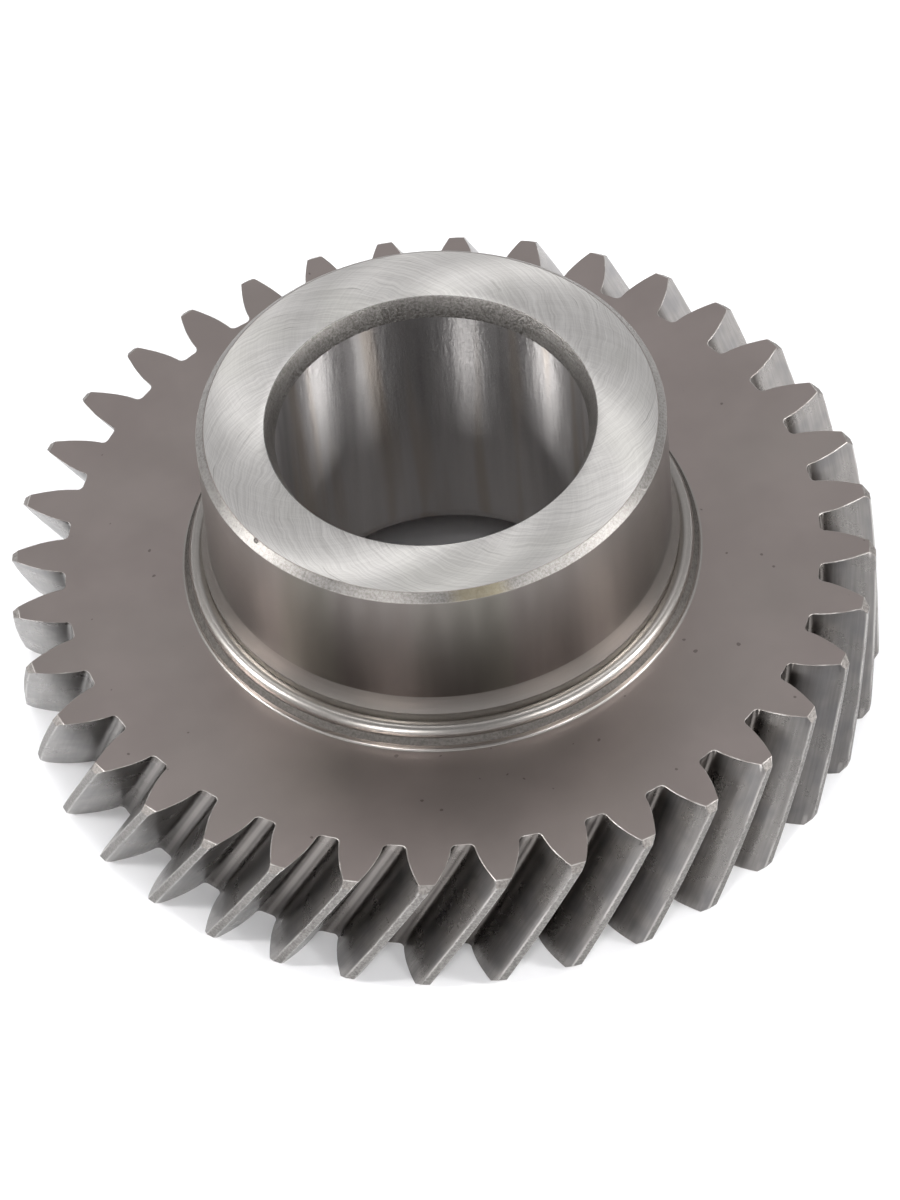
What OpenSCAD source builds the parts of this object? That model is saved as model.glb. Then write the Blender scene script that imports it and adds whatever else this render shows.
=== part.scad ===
// Helical transmission gear with a long ground hub, forged and machined as one piece.
// The axis is Z. The gear rests on the plain face of its rim, and the hub points up.

/* [Teeth] */
// Number of teeth
teeth = 36; // [32:1:42]
// Module, measured square to a tooth
normal_module = 2.55; // [2.4:0.05:2.7]
// Helix angle at the pitch circle, right-hand
helix_angle = 28.3; // [20:0.1:32]
// Pressure angle, measured square to a tooth
pressure_angle = 17.5; // [16:0.5:20]
// Height of a tooth above the pitch circle
addendum = 3.87; // [3.2:0.01:4]
// Depth of a tooth below the pitch circle
dedendum = 3.25; // [3:0.05:3.5]
// Share of the pitch that a tooth fills at the pitch circle
tooth_share = 0.498; // [0.48:0.001:0.51]
// Fillet on each side of a root
root_fillet_r = 0.8; // [0.5:0.1:0.9]
// Chamfer on the tips of the teeth at both faces
tip_chamfer = 0.8; // [0.4:0.1:1.2]

/* [Rim and web] */
// Width of the toothed rim
face_w = 20; // [16:0.5:26]
// Diameter of the shallow recess in the plain face
recess_d = 72; // [60:1:84]
// Depth of that recess
recess_depth = 2.7; // [1.5:0.1:4]
// Fillet in the corner of the recess
recess_fillet_r = 1; // [0.5:0.1:1.4]
// Chamfer on the edge of the recess
recess_chamfer = 0.4; // [0.2:0.1:0.8]

/* [Hub] */
// Diameter of the ground hub
hub_d = 60; // [56:0.5:64]
// Height of the hub above the toothed face
hub_h = 25.7; // [20:0.1:34]
// Chamfer on the outer edge of the hub
hub_chamfer = 1; // [0.5:0.1:1.6]

/* [Bore] */
// Diameter of the bore
bore_d = 40; // [34:0.5:44]
// Widening of the radius at each mouth of the bore
lead_in_w = 1.2; // [0.8:0.1:1.6]
// Length of the lead-in cone at each mouth
lead_in_h = 2.8; // [1.6:0.1:4]

/* [Foot of the hub] */
// Height above the toothed face where the ground surface ends
flare_top_h = 6.5; // [5:0.1:8]
// Height of the lower edge of the flared band
flare_edge_h = 4.2; // [3.6:0.1:4.6]
// How far the flared band stands out from the hub
flare_out = 0.9; // [0.5:0.1:1.2]
// How far the groove under the flared band cuts back in
groove_in = 0.2; // [0.1:0.1:0.4]
// Distance of the bead's centre out from the hub
bead_out = 1.5; // [1.3:0.1:1.8]
// Height of the bead's centre above the toothed face
bead_h = 1.8; // [1.5:0.1:2]
// Radius of the bead
bead_r = 1.15; // [1:0.05:1.3]
// Distance of the ledge's edge out from the hub
ledge_out = 3.3; // [3:0.1:3.8]
// Height of the ledge's edge above the toothed face
ledge_h = 0.85; // [0.6:0.05:1.1]
// Fillet between the ledge and the toothed face
toe_fillet_r = 0.35; // [0.2:0.05:0.5]

/* [Hidden] */
$fn = 96;

steel = [0.52, 0.49, 0.47];
overrun = 1;
half_pitch = 180 / teeth;
pitch_r = teeth * normal_module / cos(helix_angle) / 2;
tip_r = pitch_r + addendum;
root_r = pitch_r - dedendum;
transverse_angle = atan(tan(pressure_angle) / cos(helix_angle));
base_r = pitch_r * cos(transverse_angle);
twist_per_mm = tan(helix_angle) / pitch_r * 180 / PI;
hub_r = hub_d / 2;
bore_r = bore_d / 2;
recess_r = recess_d / 2;
recess_top = recess_depth;
hub_top = face_w + hub_h;

// Sampling of the tooth form: flank points, fillet points and rings along the helix
flank_steps = 4;
fillet_steps = 3;
helix_steps = 5;
fillet_centre_r = root_r + root_fillet_r;

// Involute function of an angle in degrees, returned in degrees
function involute(a) = tan(a) * 180 / PI - a;

// Half the angle that a tooth spans at radius r
function half_tooth(r) =
    let (a = r > base_r ? acos(base_r / r) : 0)
    tooth_share * half_pitch + involute(transverse_angle) - involute(a);

// One side of a tooth, from the tip down to the root land, as [radius, angle off the tooth's middle]
function tooth_side(level_tip_r) =
    let (
        lowest = fillet_centre_r,
        highest = tip_r - tip_chamfer,
        fillet_centre = half_tooth(lowest) + root_fillet_r / lowest * 180 / PI
    )
    concat(
        [[level_tip_r, half_tooth(level_tip_r)]],
        [for (i = [1 : flank_steps])
            let (r = highest + (lowest - highest) * (i - 0.2) / (flank_steps - 0.2))
            [r, half_tooth(r)]],
        [for (i = [1 : fillet_steps])
            let (a = 90 * i / fillet_steps, r = lowest - root_fillet_r * sin(a))
            [r, fillet_centre - root_fillet_r * cos(a) / r * 180 / PI]]
    );

// The other side, from the root land up to the tip
function mirrored(side) = [for (i = [len(side) - 1 : -1 : 0]) [side[i][0], -side[i][1]]];

// One whole tooth, in order of growing angle
function tooth(level_tip_r) =
    let (side = tooth_side(level_tip_r))
    concat(mirrored(side), side);

// The outline of all teeth at height z, turned along the helix, with a tooth on +X at the toothed face
function outline(z, level_tip_r) =
    let (shape = tooth(level_tip_r), turn = (z - face_w) * twist_per_mm)
    [for (k = [0 : teeth - 1]) for (p = shape)
        let (a = 2 * half_pitch * k + p[1] + turn)
        [p[0] * cos(a), p[0] * sin(a), z]];

// Heights and tip radii of the rings, from the plain face up to the toothed face
levels = concat(
    [[0, tip_r - tip_chamfer]],
    [for (i = [0 : helix_steps])
        [tip_chamfer + (face_w - 2 * tip_chamfer) * i / helix_steps, tip_r]],
    [[face_w, tip_r - tip_chamfer]]
);

// The rim and web as one body, with a fan over each face and triangles along the helix
module toothed_disc() {
    rings = [for (l = levels) each outline(l[0], l[1])];
    count = len(rings) / len(levels);
    low_centre = len(rings);
    high_centre = low_centre + 1;
    top = (len(levels) - 1) * count;
    walls = [for (l = [0 : len(levels) - 2]) for (i = [0 : count - 1])
        let (j = (i + 1) % count, a = l * count)
        each [[a + i, a + count + j, a + j], [a + i, a + count + i, a + count + j]]];
    low_face = [for (i = [0 : count - 1]) [low_centre, i, (i + 1) % count]];
    high_face = [for (i = [0 : count - 1]) [high_centre, top + (i + 1) % count, top + i]];
    polyhedron(
        points = concat(rings, [[0, 0, 0], [0, 0, face_w]]),
        faces = concat(walls, low_face, high_face),
        convexity = 10
    );
}

// Half section of the hub and the rings at its foot, drawn above the toothed face
module hub_section() {
    wall_r = hub_r + flare_out - groove_in;
    ledge_r = hub_r + ledge_out;
    sunk = -face_w / 2;
    polygon([
        [0, sunk], [0, hub_h], [hub_r - hub_chamfer, hub_h], [hub_r, hub_h - hub_chamfer],
        [hub_r, flare_top_h], [hub_r + flare_out, flare_edge_h],
        [wall_r, flare_edge_h - 2 * groove_in], [wall_r, sunk]
    ]);
    translate([hub_r + bead_out, bead_h])
        circle(r = bead_r);
    polygon([
        [0, sunk], [0, ledge_h + ledge_out - bead_out],
        [hub_r + bead_out, ledge_h + ledge_out - bead_out],
        [ledge_r, ledge_h], [ledge_r, sunk]
    ]);
    difference() {
        translate([ledge_r - toe_fillet_r, sunk])
            square([2 * toe_fillet_r, toe_fillet_r - sunk]);
        translate([ledge_r + toe_fillet_r, toe_fillet_r])
            circle(r = toe_fillet_r);
    }
}

// The hub as a turned body
module hub() {
    translate([0, 0, face_w])
        rotate_extrude()
            hub_section();
}

// Half section of the recess in the plain face
module recess_section() {
    difference() {
        translate([0, -overrun])
            square([recess_r, recess_top + overrun]);
        difference() {
            translate([recess_r - recess_fillet_r, recess_top - recess_fillet_r])
                square([recess_fillet_r + overrun, recess_fillet_r + overrun]);
            translate([recess_r - recess_fillet_r, recess_top - recess_fillet_r])
                circle(r = recess_fillet_r);
        }
    }
    polygon([
        [recess_r - recess_chamfer, -recess_chamfer], [recess_r + 2 * recess_chamfer, -recess_chamfer],
        [recess_r, recess_chamfer], [recess_r - recess_chamfer, recess_chamfer]
    ]);
}

// The shallow recess as a turned cut
module recess() {
    rotate_extrude()
        recess_section();
}

// The bore with a lead-in cone at each mouth
module bore() {
    mouth_r = bore_r + lead_in_w;
    translate([0, 0, -overrun])
        cylinder(h = hub_top + 2 * overrun, r = bore_r);
    translate([0, 0, hub_top - lead_in_h])
        cylinder(h = lead_in_h, r1 = bore_r, r2 = mouth_r);
    translate([0, 0, hub_top])
        cylinder(h = overrun, r = mouth_r);
    translate([0, 0, recess_top])
        cylinder(h = lead_in_h, r1 = mouth_r, r2 = bore_r);
}

module helical_gear() {
    color(steel)
        difference() {
            union() {
                toothed_disc();
                hub();
            }
            recess();
            bore();
        }
}

helical_gear();
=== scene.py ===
# %% [markdown]
# # A helical gear from a gearbox
#
# This lesson dresses one steel gear. It has a toothed rim, a flat web and a long ground hub, and all
# of it is one piece of metal. The measured model of the gear is loaded first, and its height and its
# outside diameter are read from it. Then the gear is modelled again with fine edges, and each of its
# surfaces gets the finish that its own machine left on it: turned, hobbed or ground.

# %% Load the measured gear
import math

import bmesh
import bpy
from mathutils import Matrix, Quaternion, Vector


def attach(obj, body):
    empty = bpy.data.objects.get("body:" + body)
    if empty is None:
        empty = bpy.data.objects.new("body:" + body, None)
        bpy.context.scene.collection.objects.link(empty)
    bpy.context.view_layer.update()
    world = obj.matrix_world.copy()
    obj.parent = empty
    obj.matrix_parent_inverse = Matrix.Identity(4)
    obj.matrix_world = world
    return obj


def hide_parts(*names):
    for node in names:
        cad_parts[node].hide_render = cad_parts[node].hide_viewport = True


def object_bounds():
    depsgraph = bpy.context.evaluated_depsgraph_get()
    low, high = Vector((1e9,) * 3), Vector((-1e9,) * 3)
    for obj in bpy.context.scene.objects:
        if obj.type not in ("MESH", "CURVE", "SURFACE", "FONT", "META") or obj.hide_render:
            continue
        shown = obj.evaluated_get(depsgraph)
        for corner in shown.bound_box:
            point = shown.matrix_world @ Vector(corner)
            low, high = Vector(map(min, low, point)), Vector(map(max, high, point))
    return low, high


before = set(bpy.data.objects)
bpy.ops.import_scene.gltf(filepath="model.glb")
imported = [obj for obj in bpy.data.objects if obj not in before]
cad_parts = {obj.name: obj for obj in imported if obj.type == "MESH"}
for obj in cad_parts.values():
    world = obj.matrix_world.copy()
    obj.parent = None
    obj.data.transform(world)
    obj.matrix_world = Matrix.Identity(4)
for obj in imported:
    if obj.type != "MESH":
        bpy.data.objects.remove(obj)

cad_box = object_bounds()
print("The measured gear spans", [round(high - low, 4) for low, high in zip(*cad_box)], "m")

# %% [markdown]
# ## Sizes
#
# A gear is drawn from a few numbers. The count of teeth, the module, the helix angle and the pressure
# angle give the teeth, and the rest are radii and heights. They are named here once, in
# millimetres as on a drawing, and everything else is worked out from them. The height of the gear and
# its outside diameter are read from the measured model, so that both always agree.

# %% Sizes of the gear
MM = 0.001
TEETH = 36
NORMAL_MODULE = 2.55
HELIX_ANGLE = math.radians(28.3)
PRESSURE_ANGLE = math.radians(17.5)
DEDENDUM = 3.25
TOOTH_SHARE = 0.498
ROOT_FILLET = 0.8
TIP_CHAMFER = 0.8
RIM_W = 20.0
TIP_R = cad_box[1].x / MM
GEAR_H = cad_box[1].z / MM

PITCH = 2 * math.pi / TEETH
PITCH_R = TEETH * NORMAL_MODULE / math.cos(HELIX_ANGLE) / 2
ROOT_R = PITCH_R - DEDENDUM
SIDE_ANGLE = math.atan(math.tan(PRESSURE_ANGLE) / math.cos(HELIX_ANGLE))
BASE_R = PITCH_R * math.cos(SIDE_ANGLE)
TWIST = math.tan(HELIX_ANGLE) / PITCH_R * RIM_W
print("Pitch radius", round(PITCH_R, 2), "root radius", round(ROOT_R, 2), "tip radius", round(TIP_R, 2))
print("The teeth turn", round(math.degrees(TWIST), 2), "degrees over the rim")

# %% Sizes of the hub, its foot, the bore and the recess
HUB_R = 30.0
HUB_CHAMFER = 1.0
BORE_R = 20.0
LEAD_IN_W = 1.2
LEAD_IN_H = 2.8
FLARE_TOP = RIM_W + 6.5
FLARE_EDGE = RIM_W + 4.2
FLARE_OUT = 0.9
GROOVE_IN = 0.2
BEAD_R = 1.15
BEAD_CENTRE_R = HUB_R + 1.5
BEAD_CENTRE_H = RIM_W + 1.8
LEDGE_R = HUB_R + 3.3
LEDGE_H = RIM_W + 0.85
LEDGE_ROUND = 0.25
TOE_FILLET = 0.35
RECESS_R = 36.0
RECESS_H = 2.7
RECESS_FILLET = 1.0
RECESS_CHAMFER = 0.4
print("The hub stands", round(GEAR_H - RIM_W, 2), "mm above the toothed face")

# %% [markdown]
# ## Working by hand in code
#
# Each shape is made the way it is made at the screen: a primitive is added, then edit mode extrudes,
# spins, cuts and bevels it. An operator acts on whatever is selected, so small helpers keep the
# selection honest. One leaves a single object selected, one selects elements by a rule about their
# place, one draws a line of edges by pulling a single vertex from point to point, and one applies a
# modifier. The last two give a point at a radius and an angle, and the points along an arc.

# %% Helpers for modelling


def only(piece, mode):
    """Leaves one piece selected and active, in object or edit mode."""
    if bpy.context.mode != "OBJECT":
        bpy.ops.object.mode_set(mode="OBJECT")
    bpy.ops.object.select_all(action="DESELECT")
    piece.select_set(True)
    bpy.context.view_layer.objects.active = piece
    bpy.ops.object.mode_set(mode=mode)


def pick(piece, kind, wanted):
    """Selects the vertices, edges or faces of the piece in edit mode that a rule wants."""
    bpy.ops.mesh.select_mode(type=kind)
    bpy.ops.mesh.select_all(action="DESELECT")
    mesh = bmesh.from_edit_mesh(piece.data)
    mesh.normal_update()
    elements = {"VERT": mesh.verts, "EDGE": mesh.edges, "FACE": mesh.faces}[kind]
    found = [element for element in elements if wanted(element)]
    for element in found:
        element.select_set(True)
    mesh.select_flush_mode()
    bmesh.update_edit_mesh(piece.data)
    return len(found)


def draw_line(name, points):
    """Draws a line of edges: a plane is merged to one vertex, and that is extruded from point to point."""
    bpy.ops.object.select_all(action="DESELECT")
    bpy.ops.mesh.primitive_plane_add(size=MM, location=points[0])
    piece = bpy.context.object
    piece.name = piece.data.name = name
    only(piece, "EDIT")
    bpy.ops.mesh.select_all(action="SELECT")
    bpy.ops.mesh.merge(type="CENTER")
    for here, there in zip(points, points[1:]):
        bpy.ops.mesh.extrude_region_move(TRANSFORM_OT_translate={"value": there - here})
    only(piece, "OBJECT")
    bpy.ops.object.transform_apply(location=True, rotation=False, scale=False)
    return piece


def apply_modifier(piece, kind, **settings):
    """Adds a modifier with its settings and applies it."""
    only(piece, "OBJECT")
    modifier = piece.modifiers.new(kind.lower(), kind)
    for name, value in settings.items():
        setattr(modifier, name, value)
    bpy.ops.object.modifier_apply(modifier=modifier.name)


def polar(radius, angle, height=0.0):
    """A point from a radius, an angle and a height in millimetres, in metres."""
    return Vector((radius * math.cos(angle), radius * math.sin(angle), height)) * MM


def arc(centre_r, centre_h, radius, start, end, steps):
    """Points of an arc in the section of a turned shape, as radius and height."""
    turns = [math.radians(start + (end - start) * i / steps) for i in range(steps + 1)]
    return [(centre_r + radius * math.cos(a), centre_h + radius * math.sin(a)) for a in turns]


print("A point 1 mm out from the axis lies at", polar(1, 0)[:], "m")

# %% [markdown]
# ## One tooth
#
# The side of a gear tooth is an involute, the curve that the end of a taut string draws as it unwinds
# from a circle. Half the width of a tooth at any radius follows from it in one formula. The line below
# runs over one pitch: up from the root, over the tip, and down to the next root. It could be traced by
# eye, but then the teeth would not mesh, and a helical tooth shows any unevenness along its whole
# length.

# %% The outline of one tooth
FLANK_STEPS = 11
FILLET_STEPS = 6
LAND_STEPS = 3


def involute(angle):
    return math.tan(angle) - angle


def half_tooth(radius):
    """Half the angle that a tooth spans at a radius."""
    unwound = math.acos(BASE_R / radius) if radius > BASE_R else 0.0
    return TOOTH_SHARE * PITCH / 2 + involute(SIDE_ANGLE) - involute(unwound)


def tooth_side():
    """One side of a tooth from its tip to the root land, as radius and angle off its middle."""
    lowest = ROOT_R + ROOT_FILLET
    flank = [TIP_R + (lowest - TIP_R) * i / FLANK_STEPS for i in range(FLANK_STEPS + 1)]
    side = [(radius, half_tooth(radius)) for radius in flank]
    centre = half_tooth(lowest) + ROOT_FILLET / lowest
    for i in range(1, FILLET_STEPS + 1):
        turn = math.pi / 2 * i / FILLET_STEPS
        radius = lowest - ROOT_FILLET * math.sin(turn)
        side.append((radius, centre - ROOT_FILLET * math.cos(turn) / radius))
    return side


def land(radius, half_width):
    """The points inside a land of constant radius, between its two ends."""
    return [(radius, half_width * (2 * i / LAND_STEPS - 1)) for i in range(1, LAND_STEPS)]


side = tooth_side()
root_half = PITCH / 2 - side[-1][1]
to_root = [(ROOT_R, side[-1][1] + root_half * i / LAND_STEPS) for i in range(1, LAND_STEPS + 1)]
falling = side + to_root
rising = [(radius, -angle) for radius, angle in reversed(falling)]
pitch_line = rising + land(TIP_R, side[0][1]) + falling
tooth = draw_line("tooth_row", [polar(radius, angle - TWIST) for radius, angle in pitch_line])
print("One pitch of the outline has", len(tooth.data.vertices), "points")

# %% [markdown]
# ## Along the helix
#
# On the machine the cutter moves along the rim while the blank turns, and that is a screw motion. The
# Screw modifier does the same: it lifts the outline over the width of the rim and turns it by the
# twist. The chamfer on the tip is then cut with a plane at 45 degrees at each end. The cutting operator
# leaves an open edge there, which is closed with one face.

# %% Lift and turn the tooth, and chamfer its tip
HELIX_STEPS = 14
NEAR = 1e-4 * MM

apply_modifier(
    tooth, "SCREW", axis="Z", angle=TWIST, screw_offset=RIM_W * MM,
    steps=HELIX_STEPS, render_steps=HELIX_STEPS, use_merge_vertices=False, use_smooth_shade=False,
)


def chamfer_tip(piece, angle, height, up):
    """Cuts the tip with a plane at 45 degrees at one end of the tooth, and closes the cut."""
    corner = polar(TIP_R - TIP_CHAMFER, angle, height)
    outward = (polar(1, angle) / MM + Vector((0, 0, up))).normalized()
    only(piece, "EDIT")
    bpy.ops.mesh.select_mode(type="VERT")
    bpy.ops.mesh.select_all(action="SELECT")
    bpy.ops.mesh.bisect(plane_co=corner, plane_no=outward, use_fill=False, clear_outer=True)
    cut = pick(piece, "VERT", lambda v: abs((v.co - corner).dot(outward)) < NEAR)
    bpy.ops.mesh.edge_face_add()
    return cut


print("Cut at the toothed face:", chamfer_tip(tooth, 0.0, RIM_W, 1), "points")
print("Cut at the plain face:", chamfer_tip(tooth, -TWIST, 0.0, -1), "points")

# %% [markdown]
# ## All the teeth
#
# The finished tooth is copied round the axis. Spin with its duplicate setting puts the copies exactly
# one pitch apart, and merging by distance joins neighbours along their root. An array with a turned
# helper object would do the same, but it needs a second object.

# %% Copy the tooth round the rim
MERGE_WITHIN = 0.01

only(tooth, "EDIT")
bpy.ops.mesh.select_all(action="SELECT")
bpy.ops.mesh.spin(
    steps=TEETH - 1, dupli=True, angle=PITCH * (TEETH - 1), center=(0, 0, 0), axis=(0, 0, 1),
)
bpy.ops.mesh.select_all(action="SELECT")
bpy.ops.mesh.remove_doubles(threshold=MERGE_WITHIN * MM)
only(tooth, "OBJECT")
print("The ring of teeth has", len(tooth.data.polygons), "faces")

# %% [markdown]
# ## The turned middle
#
# The hub, the stepped foot round it, the bore and the recess below were all turned about one axis. So
# one section line is drawn, from the web over the hub and down the bore to the plain face, and it is
# spun once round. A lathe works the same way. The foot is drawn with care, because it is what the eye
# finds first: a fillet, a ledge, a bead, a groove and a flared band. The bead is an arc from the slope
# of the ledge to the groove, so the angles of its two ends are worked out from where it meets them.

# %% The section of the hub
BEAD_STEPS = 14
FILLET_SECTION_STEPS = 5
LEDGE_STEPS = 4
END_STEPS = 8
END_OUTER_R = HUB_R - HUB_CHAMFER
END_INNER_R = BORE_R + LEAD_IN_W

bead_side = math.degrees(math.acos((HUB_R + FLARE_OUT - GROOVE_IN - BEAD_CENTRE_R) / BEAD_R))
ledge_gap = LEDGE_R + LEDGE_H - BEAD_CENTRE_R - BEAD_CENTRE_H
crease = 45 - math.degrees(math.acos(ledge_gap / math.sqrt(2) / BEAD_R))
section = [
    *arc(LEDGE_R + TOE_FILLET, RIM_W + TOE_FILLET, TOE_FILLET, 270, 180, FILLET_SECTION_STEPS),
    *arc(
        LEDGE_R - LEDGE_ROUND, LEDGE_H - LEDGE_ROUND * math.tan(math.pi / 8), LEDGE_ROUND,
        0, 45, LEDGE_STEPS,
    ),
    *arc(BEAD_CENTRE_R, BEAD_CENTRE_H, BEAD_R, crease, bead_side, BEAD_STEPS),
    (HUB_R + FLARE_OUT - GROOVE_IN, FLARE_EDGE - 2 * GROOVE_IN),
    (HUB_R + FLARE_OUT, FLARE_EDGE),
    (HUB_R, FLARE_TOP),
    (HUB_R, GEAR_H - HUB_CHAMFER),
    *[(END_OUTER_R + (END_INNER_R - END_OUTER_R) * i / END_STEPS, GEAR_H) for i in range(END_STEPS + 1)],
    (BORE_R, GEAR_H - LEAD_IN_H),
    (BORE_R, RECESS_H + LEAD_IN_H),
    (BORE_R + LEAD_IN_W, RECESS_H),
    *arc(RECESS_R - RECESS_FILLET, RECESS_H - RECESS_FILLET, RECESS_FILLET, 90, 0, FILLET_SECTION_STEPS),
    (RECESS_R, RECESS_CHAMFER),
    (RECESS_R + RECESS_CHAMFER, 0.0),
]
gear = draw_line("helical_gear_body", [polar(radius, 0, height) for radius, height in section])
print("The section of the hub has", len(section), "points")

# %% Spin the section
SPIN_STEPS = 288

only(gear, "EDIT")
bpy.ops.mesh.select_all(action="SELECT")
bpy.ops.mesh.spin(
    steps=SPIN_STEPS, angle=2 * math.pi, center=(0, 0, 0), axis=(0, 0, 1), use_auto_merge=True,
)
bpy.ops.mesh.select_all(action="SELECT")
bpy.ops.mesh.remove_doubles(threshold=MERGE_WITHIN * MM)
only(gear, "OBJECT")
print("The turned middle has", len(gear.data.polygons), "faces")

# %% [markdown]
# ## Close the two faces
#
# The web and the plain face are flat rings with a toothed outer edge. Fill closes the space between
# the two open edges of a face in one step, out into every tooth. Then the normals are turned
# outwards. The many thin triangles of the fill would show as faint lines, so they are dissolved into
# twelve large sectors. A plane through the axis cuts two borders of sectors at once, and it runs
# through the middle of two tooth roots, where corners are already there. The cuts are marked as seams,
# at which the dissolving stops. A count of open edges proves that the gear is one closed body.

# %% Join the ring of teeth to the middle and close both faces
SECTORS = 12
FLAT_WITHIN = math.radians(0.1)


def lies_at(element, height):
    """True where all corners of an edge or a face are at that height."""
    return all(abs(v.co.z - height * MM) < NEAR for v in element.verts)


only(gear, "OBJECT")
tooth.select_set(True)
bpy.ops.object.join()
only(gear, "EDIT")
for height in (0.0, RIM_W):
    edges = pick(gear, "EDGE", lambda e: e.is_boundary and lies_at(e, height))
    bpy.ops.mesh.fill(use_beauty=True)
    print("Filled the face at", height, "mm from", edges, "edges")
bpy.ops.mesh.select_all(action="SELECT")
bpy.ops.mesh.normals_make_consistent(inside=False)
for height, first in ((0.0, PITCH / 2 - TWIST), (RIM_W, PITCH / 2)):
    for number in range(SECTORS // 2):
        pick(gear, "FACE", lambda f: lies_at(f, height))
        across = first + 2 * math.pi * number / SECTORS + math.pi / 2
        bpy.ops.mesh.bisect(plane_co=(0, 0, 0), plane_no=polar(1, across) / MM)
        bpy.ops.mesh.mark_seam()
    pick(gear, "FACE", lambda f: lies_at(f, height))
    bpy.ops.mesh.dissolve_limited(angle_limit=FLAT_WITHIN, delimit={"SEAM"})
    sectors = pick(gear, "FACE", lambda f: lies_at(f, height))
    print("The face at", height, "mm is in", sectors, "sectors")
open_edges = pick(gear, "EDGE", lambda e: not e.is_manifold)
print("Open edges:", open_edges)

# %% [markdown]
# ## Broken edges
#
# No edge of a real gear is perfectly sharp: a file or a brush has broken it, and the narrow band that
# is left catches the light as a bright line. The Bevel operator makes that band on every convex edge
# that turns by a clear angle. Hollow corners stay sharp, because a tool leaves them so. Normals weighted
# by area then keep the big faces flat in shading, and the light turns in the narrow bands.

# %% Bevel the convex edges
EDGE_BREAK = 0.09
SHARP = math.radians(28)
SMOOTH_WITHIN = math.radians(35)


def convex_edge(edge):
    return edge.is_manifold and edge.is_convex and edge.calc_face_angle() > SHARP


print("Edges to break:", pick(gear, "EDGE", convex_edge))
bpy.ops.mesh.bevel(
    offset=EDGE_BREAK * MM, offset_type="OFFSET", segments=2, profile=0.5, clamp_overlap=True,
)
only(gear, "OBJECT")
bpy.ops.object.shade_smooth_by_angle(angle=SMOOTH_WITHIN)
apply_modifier(gear, "WEIGHTED_NORMAL", weight=50, keep_sharp=True)
gear.name = gear.data.name = "gear_body"
triangles = sum(len(face.vertices) - 2 for face in gear.data.polygons)
print("The gear has", triangles, "triangles")
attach(gear, "root")
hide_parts("helical_gear")

# %% [markdown]
# ## Shader maths that reads as sums
#
# A finish is a small calculation about a point of the metal: how far it is from the axis, at which
# angle, how high. Blender does that with Math nodes, and wiring them one by one is hard to read. The
# class below wraps the output of a node, so that a plus sign in Python adds an Add node, and any other
# node comes from one method.

# %% A wrapper for node outputs


class Wire:
    """The output of one shader node. Sums of wires add Math nodes."""

    def __init__(self, tree, socket=None):
        self.tree, self.socket = tree, socket

    def add(self, kind, settings=None, inputs=None, output=0):
        """Adds a node: its settings first, then the values or wires of its sockets."""
        node = self.tree.nodes.new(kind)
        for name, value in (settings or {}).items():
            setattr(node, name, value)
        for name, value in (inputs or {}).items():
            if isinstance(value, Wire):
                self.tree.links.new(value.socket, node.inputs[name])
            else:
                node.inputs[name].default_value = value
        return Wire(self.tree, node.outputs[output])

    def maths(self, operation, *values):
        return self.add("ShaderNodeMath", {"operation": operation}, dict(enumerate(values)))

    def __add__(self, other):
        return self.maths("ADD", self, other)

    def __sub__(self, other):
        return self.maths("SUBTRACT", self, other)

    def __rsub__(self, other):
        return self.maths("SUBTRACT", other, self)

    def __mul__(self, other):
        return self.maths("MULTIPLY", self, other)

    def __truediv__(self, other):
        return self.maths("DIVIDE", self, other)

    __radd__ = __add__
    __rmul__ = __mul__


def ease(value, start, end):
    """Goes smoothly from 0 at start to 1 at end."""
    return value.add(
        "ShaderNodeMapRange", {"interpolation_type": "SMOOTHSTEP"},
        {"Value": value, "From Min": start, "From Max": end},
    )


def band(value, middle, half, soft):
    """1 within half of the middle, and smoothly 0 beyond that."""
    return 1 - ease(value.maths("ABSOLUTE", value - middle), half, half + soft)


def mixed(factor, first, second):
    """A colour between two colours. Sockets 0, 6 and 7 take the factor and the colours."""
    return factor.add(
        "ShaderNodeMix", {"data_type": "RGBA"}, {0: factor, 6: first, 7: second}, output=2,
    )


def tone(red, green, blue):
    return (red, green, blue, 1.0)


print("Sums of wires add nodes")

# %% [markdown]
# ## Where a point lies on the gear
#
# Almost every mark on this part runs round the axis, along the axis or along a tooth. So each finish
# starts from cylinder coordinates in millimetres, made from the object's own coordinates. A noise that
# is read at a stretched place gives lines instead of spots, and the stretch sets their length.

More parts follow.
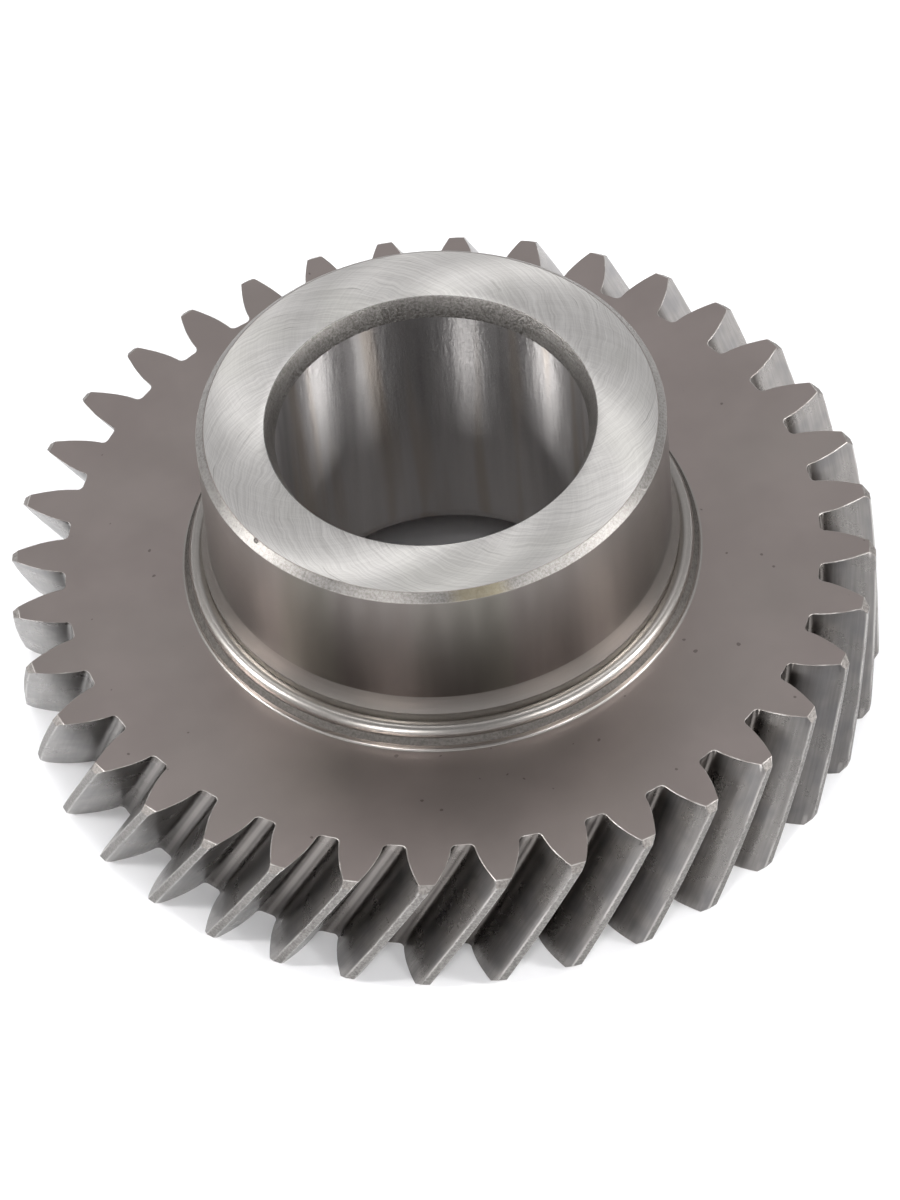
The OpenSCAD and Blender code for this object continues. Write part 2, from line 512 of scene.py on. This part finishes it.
# %% Cylinder coordinates and drawn-out noise
class Place:
    """
    The place of a shaded point on the gear, in millimetres and radians. Off_root goes from 0 in the
    middle of a root to a half in the middle of a tooth.
    """

    def __init__(self, tree):
        self.root = Wire(tree)
        point = self.root.add("ShaderNodeTexCoord", output="Object")
        self.point = point.add(
            "ShaderNodeVectorMath", {"operation": "SCALE"}, {0: point, "Scale": 1 / MM},
        )
        self.x, self.y, self.z = (
            point.add("ShaderNodeSeparateXYZ", None, {0: self.point}, output=i) for i in range(3)
        )
        across = self.x * self.x + self.y * self.y
        self.radius = across.maths("SQRT", across)
        self.angle = across.maths("ARCTAN2", self.y, self.x)
        self.helix_angle = self.angle - (self.z - RIM_W) * (TWIST / RIM_W)

        pitches = self.helix_angle / PITCH
        gap_share = pitches.maths("FRACT", pitches) - 0.5
        self.off_root = gap_share.maths("ABSOLUTE", gap_share)

    def vector(self, x, y, z):
        return self.root.add("ShaderNodeCombineXYZ", None, {0: x, 1: y, 2: z})

    def noise(self, vector, scale, detail=2.0, roughness=0.5):
        """Noise from 0 to 1, with about scale features to a millimetre."""
        return self.root.add(
            "ShaderNodeTexNoise", None,
            {"Vector": vector, "Scale": scale, "Detail": detail, "Roughness": roughness},
        )

    def sand(self, scale=2.9):
        """Fine even grain with some contrast, as small cutting marks and wear leave it."""
        return ease(self.noise(self.point, scale, 4.0, 0.7), 0.3, 0.7)

    def rings(self, stretch, scale, detail=2.0, roughness=0.5):
        """Noise whose marks run round the axis, drawn out by that stretch. W tells ring from ring."""
        return self.root.add(
            "ShaderNodeTexNoise", {"noise_dimensions": "4D"},
            {
                "Vector": self.vector(self.x / stretch, self.y / stretch, self.z), "W": self.radius,
                "Scale": scale, "Detail": detail, "Roughness": roughness,
            },
        )

    def along_axis(self, thickness, length):
        """A place in which marks that run along the axis are drawn out."""
        return self.vector(self.x / thickness, self.y / thickness, self.z / length)

    def along_tooth(self, stretch):
        """A place in which marks that run along the teeth are drawn out by that stretch."""
        return self.vector(self.radius, self.helix_angle * PITCH_R, self.z / stretch)


print("Places are counted from the axis, in millimetres")

# %% [markdown]
# ## One way to build a finish
#
# All finishes are bare steel, so they share one metal shader. What differs is the colour, the gloss,
# the fine relief and the direction of the marks. Fine marks spread a reflection across them, and the
# anisotropy of the shader does that: it gives the bright wedges on the end of the hub and the bright
# streaks in the bore. The tint at the rim of a reflection is kept dark on the dull web, which a real
# worn surface shows too: at a flat glance it hardly mirrors anything.

# %% The steel shader
ACROSS_MARKS = 0.25
GRINDING = "grinding"
CLEAN = tone(1, 1, 1)


def steel(name, finish, depth, spread=0.0, marks=None, rim_tone=CLEAN):
    """
    A steel material from a finish, which returns a colour, a roughness and a height. Depth is the
    relief in millimetres, spread how far marks spread a reflection, and marks the map they follow.
    """
    material = bpy.data.materials.new(name)
    material.use_nodes = True
    tree = material.node_tree
    tree.nodes.clear()
    place = Place(tree)
    colour, roughness, height = finish(place)
    bump = place.root.add("ShaderNodeBump", None, {"Distance": depth * MM, "Height": height})
    inputs = {
        "Base Color": colour, "Metallic": 1.0, "Roughness": roughness, "Normal": bump,
        "Specular Tint": rim_tone,
    }
    if spread:
        run = {"direction_type": "RADIAL", "axis": "Z"}
        if marks:
            run = {"direction_type": "UV_MAP", "uv_map": marks}
        inputs["Tangent"] = place.root.add("ShaderNodeTangent", run)
        inputs["Anisotropic"] = spread
        inputs["Anisotropic Rotation"] = ACROSS_MARKS
    surface = place.root.add("ShaderNodeBsdfPrincipled", None, inputs)
    output = tree.nodes.new("ShaderNodeOutputMaterial")
    tree.links.new(surface.socket, output.inputs["Surface"])
    print("Finish", name, "has", len(tree.nodes), "nodes")
    return material


print("Reflections are spread at", ACROSS_MARKS, "of a turn to the marks")

# %% [markdown]
# ## Web and plain face
#
# The web was turned and then tumbled or blasted, so it is a dull, warm grey with hardly a mark. Oil and
# handling leave soft clouds and a few dark specks. Clouds of noise in two sizes do that, one for the
# shade and one for the tint, and a noise that is cut off near its top leaves the specks. A picture of
# steel would be quicker, but it would show seams and the same speck again and again.

# %% Web and plain face
SPECK_AT = 0.83


def web_finish(place):
    clouds = place.noise(place.point, 0.07, 3.0, 0.55)
    tint = place.noise(place.point, 0.045, 1.0)
    grain = place.noise(place.point, 5.0, 3.0, 0.6)
    lines = place.rings(40, 2.5, 2.0, 0.6)
    specks = ease(place.noise(place.point, 0.9, 0.0), SPECK_AT, SPECK_AT + 0.03)
    shade = mixed(ease(clouds, 0.3, 0.7), tone(0.42, 0.364, 0.344), tone(0.47, 0.408, 0.386))
    shade = mixed(ease(tint, 0.35, 0.75) * 0.3, shade, tone(0.42, 0.388, 0.354))
    colour = mixed(specks * 0.6, shade, tone(0.14, 0.12, 0.11))
    return colour, 0.34 + 0.08 * (grain - 0.5) + 0.06 * (clouds - 0.5), grain * 0.6 + lines * 0.4


web_steel = steel("web_satin", web_finish, 0.004, rim_tone=tone(0.2, 0.19, 0.18))

# %% [markdown]
# ## Flanks and roots of the teeth
#
# The hob leaves the flanks smooth and glossy, with faint streaks along the tooth, so they mirror the
# table and the next tooth. The roots are painted dark, as painted shade between the teeth, and a paler
# line along their middle is a painted highlight. The streaks follow the helix: the angle is turned back
# by the twist before the noise is read, which a plain noise along the axis could not do.

# %% Flanks and roots of the teeth
PAINTED_SHADE_FROM = ROOT_R + 2.2
PAINTED_SHADE_TO = ROOT_R + 0.7


def flank_finish(place):
    streaks = place.noise(place.along_tooth(14), 2.2, 3.0, 0.6)
    clouds = place.noise(place.point, 0.25, 2.0)
    grain = place.noise(place.point, 4.0, 2.0)
    shade = mixed(streaks, tone(0.18, 0.17, 0.163), tone(0.36, 0.345, 0.33))
    shade = mixed(ease(clouds, 0.4, 0.7) * 0.5, shade, tone(0.17, 0.168, 0.176))
    # Painted shade: the roots are painted dark, and a painted highlight runs along their middle.
    root = ease(place.radius, PAINTED_SHADE_FROM, PAINTED_SHADE_TO)
    shade = mixed(root * 0.75, shade, tone(0.08, 0.07, 0.063))
    painted_root_highlight = 1 - ease(place.off_root, 0.02, 0.07)
    shade = mixed(root * painted_root_highlight * 0.6, shade, tone(0.30, 0.28, 0.265))
    # Rubbed wear and painted highlight: the flank is painted lighter just below the tip edge.
    rubbed_and_highlight = ease(place.radius, TIP_R - 0.3, TIP_R - 0.1) * ease(clouds, 0.35, 0.6)
    colour = mixed(rubbed_and_highlight * 0.8, shade, tone(0.52, 0.505, 0.485))
    return colour, 0.22 + 0.1 * clouds + 0.03 * grain, streaks * 0.8 + grain * 0.2


flank_steel = steel("flank_hobbed", flank_finish, 0.004)

# %% [markdown]
# ## Tops of the teeth
#
# The blank was turned to its outside diameter before hobbing, so the narrow tops keep short turning
# lines, and years of knocks give them a sandy grain. Along both edges of a top the metal is rubbed
# bright, and that bright band is also a painted highlight of the edge. They face the white table, so
# their metal has to be dark to come out mid grey.

# %% Tops of the teeth
LAND_EDGE = 0.5 - half_tooth(TIP_R) / PITCH
LAND_RUBBED_AND_HIGHLIGHT = 0.025


def tip_finish(place):
    sand = place.sand()
    lines = place.rings(12, 3.5, 2.0)
    shade = mixed(sand * 0.7 + lines * 0.3, tone(0.11, 0.104, 0.098), tone(0.30, 0.288, 0.275))
    # Rubbed wear and painted highlight: a bright band is painted along both edges of the top.
    rubbed_and_highlight = 1 - ease(place.off_root, LAND_EDGE, LAND_EDGE + LAND_RUBBED_AND_HIGHLIGHT)
    colour = mixed(rubbed_and_highlight * sand * 0.8, shade, tone(0.50, 0.485, 0.465))
    return colour, 0.42 + 0.16 * (lines - 0.5), sand * 0.7 + lines * 0.3


tip_steel = steel("tip_turned", tip_finish, 0.02)

# %% [markdown]
# ## Chamfers on the tips
#
# The small slanted faces at both ends of a tooth are rough, because a plain tool cut them and they
# were never ground. A rough dark finish keeps them from flashing as mirrors would.

# %% Chamfers on the tips
def facet_finish(place):
    sand = place.sand()
    colour = mixed(sand, tone(0.17, 0.157, 0.146), tone(0.36, 0.338, 0.32))
    return colour, 0.6 + 0.1 * (sand - 0.5), sand


facet_steel = steel("facet_turned", facet_finish, 0.02)

# %% [markdown]
# ## The finish of the broken edges
#
# Round each tooth runs a thin bright line, where the sharp edge was broken and the metal rubs bare. It
# is not even: it is worn in some places and dull in others. The bevel of the model has its own faces
# there, so the line is a finish on real geometry and not a painted stripe.

# %% The finish of the broken edges
def edge_finish(place):
    grain = place.noise(place.point, 2.2, 3.0, 0.6)
    worn = ease(place.noise(place.point, 0.35, 2.0), 0.4, 0.62)
    colour = mixed(grain * worn, tone(0.34, 0.31, 0.29), tone(0.95, 0.92, 0.88))
    return colour, 0.42 + 0.1 * grain, grain


edge_steel = steel("edge_bright", edge_finish, 0.01)

# %% [markdown]
# ## Ground end of the hub
#
# The end is the brightest face. A cup wheel ground it, and its rim left long arcs that cross the ring
# at a slant. Each arc is taken as part of a circle that passes through the axis and has its far point
# near the outer edge of the ring. The direction of that far point tells one arc from the next, and it
# is the angle of any point on the arc plus the arccosine of its radius over the circle's diameter. A
# noise that is read at this direction, and changes only a little with the radius, draws the arcs. A
# slow wobble bends them, a second set crosses them faintly, and a few deep scratches come and go in
# patches.

# %% Ground end of the hub
ARC_D = 29.8
ARC_FADE = 0.12
WOBBLE = 0.12


def end_finish(place):
    def arcs_at(angle):
        """A place that is almost the same all along an arc."""
        cosine, sine = angle.maths("COSINE", angle), angle.maths("SINE", angle)
        return place.vector(cosine * ARC_D, sine * ARC_D, place.radius * ARC_FADE)

    grain = place.noise(place.point, 4.0, 3.0, 0.6)
    patches = place.noise(place.point, 0.25, 2.0)
    tint = place.noise(place.point, 0.09, 1.0)
    turn = (place.radius / ARC_D).maths("ARCCOSINE", place.radius / ARC_D)
    main_arcs = arcs_at(place.angle + turn + WOBBLE * (patches - 0.5))
    arcs = place.noise(main_arcs, 1.8, 4.0, 0.7)
    crossing = place.noise(arcs_at(place.angle - turn), 2.2, 3.0, 0.7)
    scratches = ease(place.noise(main_arcs, 1.6, 1.0), 0.66, 0.76)
    marks = arcs * 0.75 + crossing * 0.25
    shade = mixed(ease(marks, 0.3, 0.7), tone(0.68, 0.66, 0.635), tone(0.92, 0.90, 0.872))
    shade = mixed(scratches * ease(patches, 0.4, 0.6) * 0.5, shade, tone(0.36, 0.34, 0.32))
    colour = mixed(ease(tint, 0.45, 0.7) * 0.2, shade, tone(0.60, 0.60, 0.53))
    return colour, 0.47 + 0.1 * (grain - 0.5) + 0.1 * (patches - 0.5), marks - scratches * 0.5


end_steel = steel("end_ground", end_finish, 0.01, 0.8, GRINDING)

# %% [markdown]
# ## Chamfer of the hub and mouth of the bore
#
# Both cones were turned with a coarse feed and left so, with a sandy look between fine lines. The outer
# chamfer has two signs of use: a yellow stain at the front, where oil has dried, and a small nick in its
# upper edge. The stain is a band in the angle, and the nick a dark hollow at one point.

# %% Chamfer of the hub and mouth of the bore
STAIN_ANGLE = math.radians(-86)
STAIN_HALF = 0.06
STAIN_SOFT = 0.1
NICK = (-24.3, -15.9, 45.5)
NICK_R = 0.45


def chamfer_finish(place):
    sand = place.sand()
    lines = place.rings(10, 3.0, 3.0, 0.6)
    shade = mixed(sand * 0.6 + lines * 0.4, tone(0.17, 0.157, 0.146), tone(0.46, 0.442, 0.42))
    outside = ease(place.radius, HUB_R - 3, HUB_R - 2)
    stain = band(place.angle, STAIN_ANGLE, STAIN_HALF, STAIN_SOFT) * outside
    shade = mixed(stain * 0.7, shade, tone(0.46, 0.40, 0.27))
    gap = place.root.add(
        "ShaderNodeVectorMath", {"operation": "DISTANCE"}, {0: place.point, 1: NICK}, output="Value",
    )
    nick = 1 - ease(gap, NICK_R / 2, NICK_R)
    colour = mixed(nick * 0.8, shade, tone(0.06, 0.05, 0.045))
    return colour, 0.40 + 0.16 * (sand - 0.5), sand * 0.7 + lines * 0.3 - nick * 3


chamfer_steel = steel("chamfer_turned", chamfer_finish, 0.025, 0.8)
mouth_steel = steel("mouth_turned", chamfer_finish, 0.04, 0.6)

# %% [markdown]
# ## Bore
#
# The bore was honed to size. Its fine marks run round the wall, so each lamp shows as a long streak
# down it, and a slow waviness of the wall bends the streaks a little. Brown and pale stripes run along
# the axis, where the shaft was pressed in and out. The stripes are noise that is drawn out along Z, and
# down the bore the metal gets paler.

# %% Bore
PALE_FROM = 32.0
PALE_TO = 4.0


def bore_finish(place):
    grain = place.sand(2.6)
    stripes = place.along_axis(2.0, 28.6)
    tint = place.noise(stripes, 1.0, 2.0)
    warm = ease(place.noise(stripes, 0.6, 1.0), 0.5, 0.7)
    waves = place.noise(place.along_axis(1.0, 6.7), 0.8, 3.0, 0.65)
    deep = ease(place.z, PALE_FROM, PALE_TO)
    shade = mixed(tint, tone(0.22, 0.208, 0.206), tone(0.56, 0.54, 0.53))
    shade = mixed(deep * 0.6, shade, tone(0.66, 0.63, 0.61))
    shade = mixed(grain * 0.2, shade, tone(0.62, 0.61, 0.6))
    colour = mixed(warm * 0.4, shade, tone(0.38, 0.30, 0.22))
    return colour, 0.42 + 0.12 * (grain - 0.5), waves + grain * 0.15


bore_steel = steel("bore_ground", bore_finish, 0.05, 1.0)

# %% [markdown]
# ## Side of the hub
#
# The side carries a bearing or a bush, so it was ground finely and is glossy. It looks dark because it
# mirrors the dull web below it. Broad stripes of tint run along the axis, some with a trace
# of green from oil. Towards the top the colour is painted paler, so the lower side carries painted
# shade and the upper side painted light.

# %% Side of the hub
def side_finish(place):
    stripes = place.along_axis(4.0, 50.0)
    tint = place.noise(stripes, 1.0, 2.0)
    green = ease(place.noise(stripes, 0.5, 1.0), 0.45, 0.7)
    lines = place.rings(30, 4.0, 2.0)
    shade = mixed(tint, tone(0.10, 0.09, 0.084), tone(0.19, 0.174, 0.163))
    # Painted light: the colour of the side is painted paler towards the top.
    shade = mixed(ease(place.z, FLARE_TOP, GEAR_H) * 0.4, shade, tone(0.38, 0.355, 0.335))
    colour = mixed(green * 0.35, shade, tone(0.18, 0.187, 0.15))
    return colour, 0.30 + 0.08 * (lines - 0.5), lines


side_steel = steel("side_ground", side_finish, 0.003)

# %% [markdown]
# ## Rings at the foot of the hub
#
# The groove, the bead and the rounded edge of the ledge come from one form tool, which leaves fine rings
# and a fair gloss, so they draw the thin bright lines that circle the foot. The flared band above them
# is duller. Height alone tells it from the rest, so one finish serves both.

# %% Rings at the foot of the hub
def foot_finish(place):
    sand = ease(place.noise(place.point, 3.2, 3.0, 0.65), 0.3, 0.7)
    lines = place.rings(25, 3.0, 2.0)
    flare = ease(place.z, FLARE_EDGE - 1, FLARE_EDGE)
    shade = mixed(sand * 0.2 + lines * 0.8, tone(0.34, 0.318, 0.296), tone(0.50, 0.475, 0.447))
    colour = mixed(flare * 0.75, shade, tone(0.18, 0.168, 0.156))
    return colour, 0.33 + 0.16 * flare + 0.04 * (sand - 0.5), sand * 0.3 + lines * 0.7


foot_steel = steel("foot_turned", foot_finish, 0.002)

# %% [markdown]
# ## Ledge under the bead
#
# The sloping ledge is rough, and its dark colour is painted shade under the bead. At 45 degrees
# it would mirror the lamps straight into the eye, and only a rough dark metal stays calm there.

# %% Ledge under the bead
def ledge_finish(place):
    sand = place.sand()
    lines = place.rings(12, 3.0, 2.0)
    # Painted shade: the ledge under the bead is painted dark.
    colour = mixed(sand * 0.6 + lines * 0.4, tone(0.05, 0.045, 0.041), tone(0.20, 0.186, 0.172))
    return colour, 0.62 + 0.1 * (sand - 0.5), sand * 0.7 + lines * 0.3


ledge_steel = steel("ledge_turned", ledge_finish, 0.02)

# %% [markdown]
# ## Which finish goes where
#
# The regions of a machined part follow from its geometry, so a few rules on radius, height and normal
# are enough to pick the faces of each one. Each region is selected in edit mode and given its material
# slot, as by hand. A later rule takes faces from an earlier one.

# %% Rules for the regions
LEVEL = 0.99
CLOSE = 0.03
TURNED_ROUND = 0.45
SLANT_FROM = 0.5
SLANT_TO = 0.9


def spot(face):
    """Radius, height and upward share of the normal at the middle of a face, in millimetres."""
    middle = face.calc_center_median() / MM
    return math.hypot(middle.x, middle.y), middle.z, face.normal.z


def on_rim(face):
    radius, height, up = spot(face)
    return radius > ROOT_R - CLOSE and abs(up) < LEVEL and -CLOSE < height < RIM_W + CLOSE


def faces_round(face):
    """True where the normal has a large share round the axis, as on the flanks."""
    middle = face.calc_center_median()
    around = Vector((-middle.y, middle.x, 0)).normalized()
    return abs(face.normal.dot(around)) > TURNED_ROUND


def on_tip(face):
    radius, _, up = spot(face)
    return radius > TIP_R - CLOSE and abs(up) < LEVEL and not faces_round(face)


def on_facet(face):
    radius, _, up = spot(face)
    return radius > TIP_R - TIP_CHAMFER - CLOSE and SLANT_FROM < abs(up) < SLANT_TO


def on_edge(face):
    radius, height, up = spot(face)
    end = min(abs(height), abs(RIM_W - height))
    return radius > ROOT_R - 2 * EDGE_BREAK and end < EDGE_BREAK and CLOSE < abs(up) < LEVEL


def on_end(face):
    _, height, up = spot(face)
    return up > LEVEL and height > GEAR_H - CLOSE


def on_chamfer(face):
    radius, height, up = spot(face)
    outer = radius > HUB_R - HUB_CHAMFER - CLOSE
    return outer and height > GEAR_H - HUB_CHAMFER - EDGE_BREAK and up < LEVEL


def on_mouth(face):
    radius, height, up = spot(face)
    return height > GEAR_H - LEAD_IN_H and radius < BORE_R + LEAD_IN_W + EDGE_BREAK and up < LEVEL


def on_bore(face):
    radius, height, up = spot(face)
    return radius < BORE_R + LEAD_IN_W + CLOSE and abs(up) < LEVEL and height < GEAR_H - LEAD_IN_H


def on_side(face):
    radius, height, _ = spot(face)
    return HUB_R - CLOSE < radius < HUB_R + CLOSE and FLARE_TOP < height < GEAR_H - HUB_CHAMFER


def on_foot(face):
    radius, height, up = spot(face)
    inside = HUB_R - CLOSE < radius < LEDGE_R + 2 * TOE_FILLET
    return inside and RIM_W + NEAR < height < FLARE_TOP and not (up > LEVEL and height < RIM_W + CLOSE)


def on_ledge(face):
    radius, height, _ = spot(face)
    off_slope = radius + height - LEDGE_R - LEDGE_H
    return on_foot(face) and abs(off_slope) < CLOSE and radius > BEAD_CENTRE_R


REGIONS = [
    (flank_steel, on_rim), (tip_steel, on_tip), (facet_steel, on_facet), (edge_steel, on_edge),
    (end_steel, on_end), (chamfer_steel, on_chamfer), (mouth_steel, on_mouth), (bore_steel, on_bore),
    (side_steel, on_side), (foot_steel, on_foot), (ledge_steel, on_ledge),
]
print("There are", len(REGIONS), "rules, and the web's finish is on what they leave")

# %% Give each region its finish
gear.data.materials.clear()
gear.data.materials.append(web_steel)
for material, _ in REGIONS:
    gear.data.materials.append(material)
only(gear, "EDIT")
for index, (material, rule) in enumerate(REGIONS, start=1):
    count = pick(gear, "FACE", rule)
    gear.active_material_index = index
    bpy.ops.object.material_slot_assign()
    print(material.name, "takes", count, "faces")
only(gear, "OBJECT")

# %% [markdown]
# ## The run of the grinding marks on the hub's end
#
# The arcs on the end of the hub don't run round the axis, so the shader can't tell their direction by
# itself. To let it spread its reflections across them, they get a UV map of their own: U runs along an
# arc, and V tells one arc from the next. It could be unwrapped by hand as well, but a few lines of
# geometry say it exactly.

# %% Lay the grinding map
gear.data.uv_layers[0].name = GRINDING
only(gear, "EDIT")
mesh = bmesh.from_edit_mesh(gear.data)
layer = mesh.loops.layers.uv.active
for face in mesh.faces:
    middle = face.calc_center_median()
    start = math.atan2(middle.y, middle.x)
    for loop in face.loops:
        point = loop.vert.co / MM
        radius = min(math.hypot(point.x, point.y), ARC_D)
        turned_by = (math.atan2(point.y, point.x) - start + math.pi) % (2 * math.pi) - math.pi
        loop[layer].uv = radius / ARC_D, start + turned_by + math.acos(radius / ARC_D)
bmesh.update_edit_mesh(gear.data)
only(gear, "OBJECT")
print("The gear's UV maps:", [each.name for each in gear.data.uv_layers])

# %% [markdown]
# ## Floor and light
#
# The gear lies on a plain white table. The plane of the table is a hair lower than the gear, so that
# two flat faces in one place don't mix. Metal shows what is around it, so the lights matter more than
# the colours. Four low lamps stand at the sides and in front. They draw the streaks in the bore and the
# wedges on the end of the hub, and the two narrow ones in front make the sharper streaks. Four small
# lamps high up put the light on the crest of the bead. Three broad lamps only whiten the table, so they
# are kept out of the reflections. The lamps are placed as the picture is seen, and the picture is
# turned a little against the gear.

# %% Table
TABLE_SIZE = 6.0
TABLE_GAP = 0.02

bpy.ops.mesh.primitive_plane_add(size=TABLE_SIZE, location=(0, 0, -TABLE_GAP * MM))
table = bpy.context.object
table.name = table.data.name = "table"
table_white = bpy.data.materials.new("table_white")
table_white.use_nodes = True
paint = table_white.node_tree.nodes["Principled BSDF"]
paint.inputs["Base Color"].default_value = tone(0.9, 0.9, 0.91)
paint.inputs["Roughness"].default_value = 0.8
table.data.materials.append(table_white)
print("The table is", table.dimensions.x, "m wide")

# %% Lamps
# The picture is turned by this many degrees against the gear's own axes
TURN = 4.196
LAMP_DISTANCE = 0.9
LAMPS = [
    ("left_lamp", 185.1, 27, 0.075, 0.34, 56),
    ("right_lamp", 345.5, 27, 0.07, 0.34, 56),
    ("front_left_lamp", 243.4, 26, 0.035, 0.28, 85),
    ("front_right_lamp", 310.1, 26, 0.03, 0.28, 78),
    ("high_left_lamp", 147, 56, 0.1, 0.1, 13),
    ("top_left_lamp", 170, 80, 0.1, 0.1, 13),
    ("top_right_lamp", 17, 76, 0.1, 0.1, 13),
    ("high_right_lamp", 29, 61, 0.1, 0.1, 13),
]
TABLE_LAMPS = [
    ("table_lamp_1", 30, 28, 1.4, 0.5, 2.5),
    ("table_lamp_2", 150, 28, 1.4, 0.5, 2.5),
    ("table_lamp_3", 270, 28, 1.4, 0.5, 2.5),
]


def lamp(name, azimuth, elevation, width, height, radiance):
    """
    A rectangular lamp that faces the gear, at angles in degrees: the azimuth from the right of the
    picture, and the elevation from the table. Radiance is how bright a mirror would show it.
    """
    around, rise = math.radians(azimuth - TURN), math.radians(elevation)
    level = math.cos(rise)
    towards = Vector((level * math.cos(around), level * math.sin(around), math.sin(rise)))
    turn = towards.to_track_quat("Z", "Y").to_euler()
    bpy.ops.object.light_add(type="AREA", location=towards * LAMP_DISTANCE, rotation=turn)
    light = bpy.context.object
    light.name = light.data.name = name
    light.data.shape = "RECTANGLE"
    light.data.size = width
    light.data.size_y = height
    light.data.energy = radiance * math.pi * width * height
    return light


for settings in LAMPS:
    lamp(*settings)
for settings in TABLE_LAMPS:
    lamp(*settings).visible_glossy = False
print("Lamps:", len(LAMPS), "on the metal and", len(TABLE_LAMPS), "on the table")

# %% [markdown]
# ## The room
#
# A polished face also mirrors the walls. The room is darker behind the camera and paler at the far
# side, so faces that look forward come out darker than faces that look back, as in a real room with a
# window. Its floor is pale too.

# %% The room
room = bpy.data.worlds.new("room")
room.use_nodes = True
air = Wire(room.node_tree)
way = air.add("ShaderNodeTexCoord", output="Generated")
_, away, up = (way.add("ShaderNodeSeparateXYZ", None, {0: way}, output=i) for i in range(3))
walls = mixed(ease(away, -0.7, 0.7), tone(0.19, 0.19, 0.2), tone(0.48, 0.48, 0.49))
walls = mixed(ease(up, -0.25, 0.15), tone(0.52, 0.52, 0.535), walls)
room.node_tree.links.new(walls.socket, room.node_tree.nodes["Background"].inputs["Color"])
bpy.context.scene.world = room
bpy.context.scene.view_settings.view_transform = "Standard"
print("The room has", len(room.node_tree.nodes), "nodes")

# %% [markdown]
# ## Camera
#
# The camera stands a little over a metre away and looks down at 49 degrees. It is rolled by five
# degrees, so the left side of the gear hangs lower in the picture. The long lens keeps the circles
# close to true ellipses.

# %% Place the camera
FRAME_H_PX = 1200
FOCAL_PX = 8555.2
DISTANCE = 1.1055
ELEVATION = math.radians(49.057)
ROLL = math.radians(-5.058)
AIM_RIGHT_PX = 7.74
AIM_DOWN_PX = 48.93
SENSOR = 36.0

turned = math.radians(-TURN)
target = Vector((0, 0, RIM_W * MM))
back = Vector((
    math.sin(turned) * math.cos(ELEVATION), -math.cos(turned) * math.cos(ELEVATION), math.sin(ELEVATION),
))
eye = target + DISTANCE * back
rolled = Quaternion((0, 0, 1), ROLL)
turn = (-back).to_track_quat("-Z", "Y") @ rolled
aside = (AIM_RIGHT_PX * Vector((1, 0, 0)) - AIM_DOWN_PX * Vector((0, 1, 0))) / FOCAL_PX * DISTANCE
aim = target + turn @ aside
look = ((aim - eye).to_track_quat("-Z", "Y") @ rolled).to_euler()
bpy.ops.object.camera_add(location=eye, rotation=look)
camera = bpy.context.object
camera.data.sensor_width = SENSOR
camera.data.lens = FOCAL_PX / FRAME_H_PX * SENSOR
bpy.context.scene.camera = camera
print("Lens", round(camera.data.lens, 1), "mm")
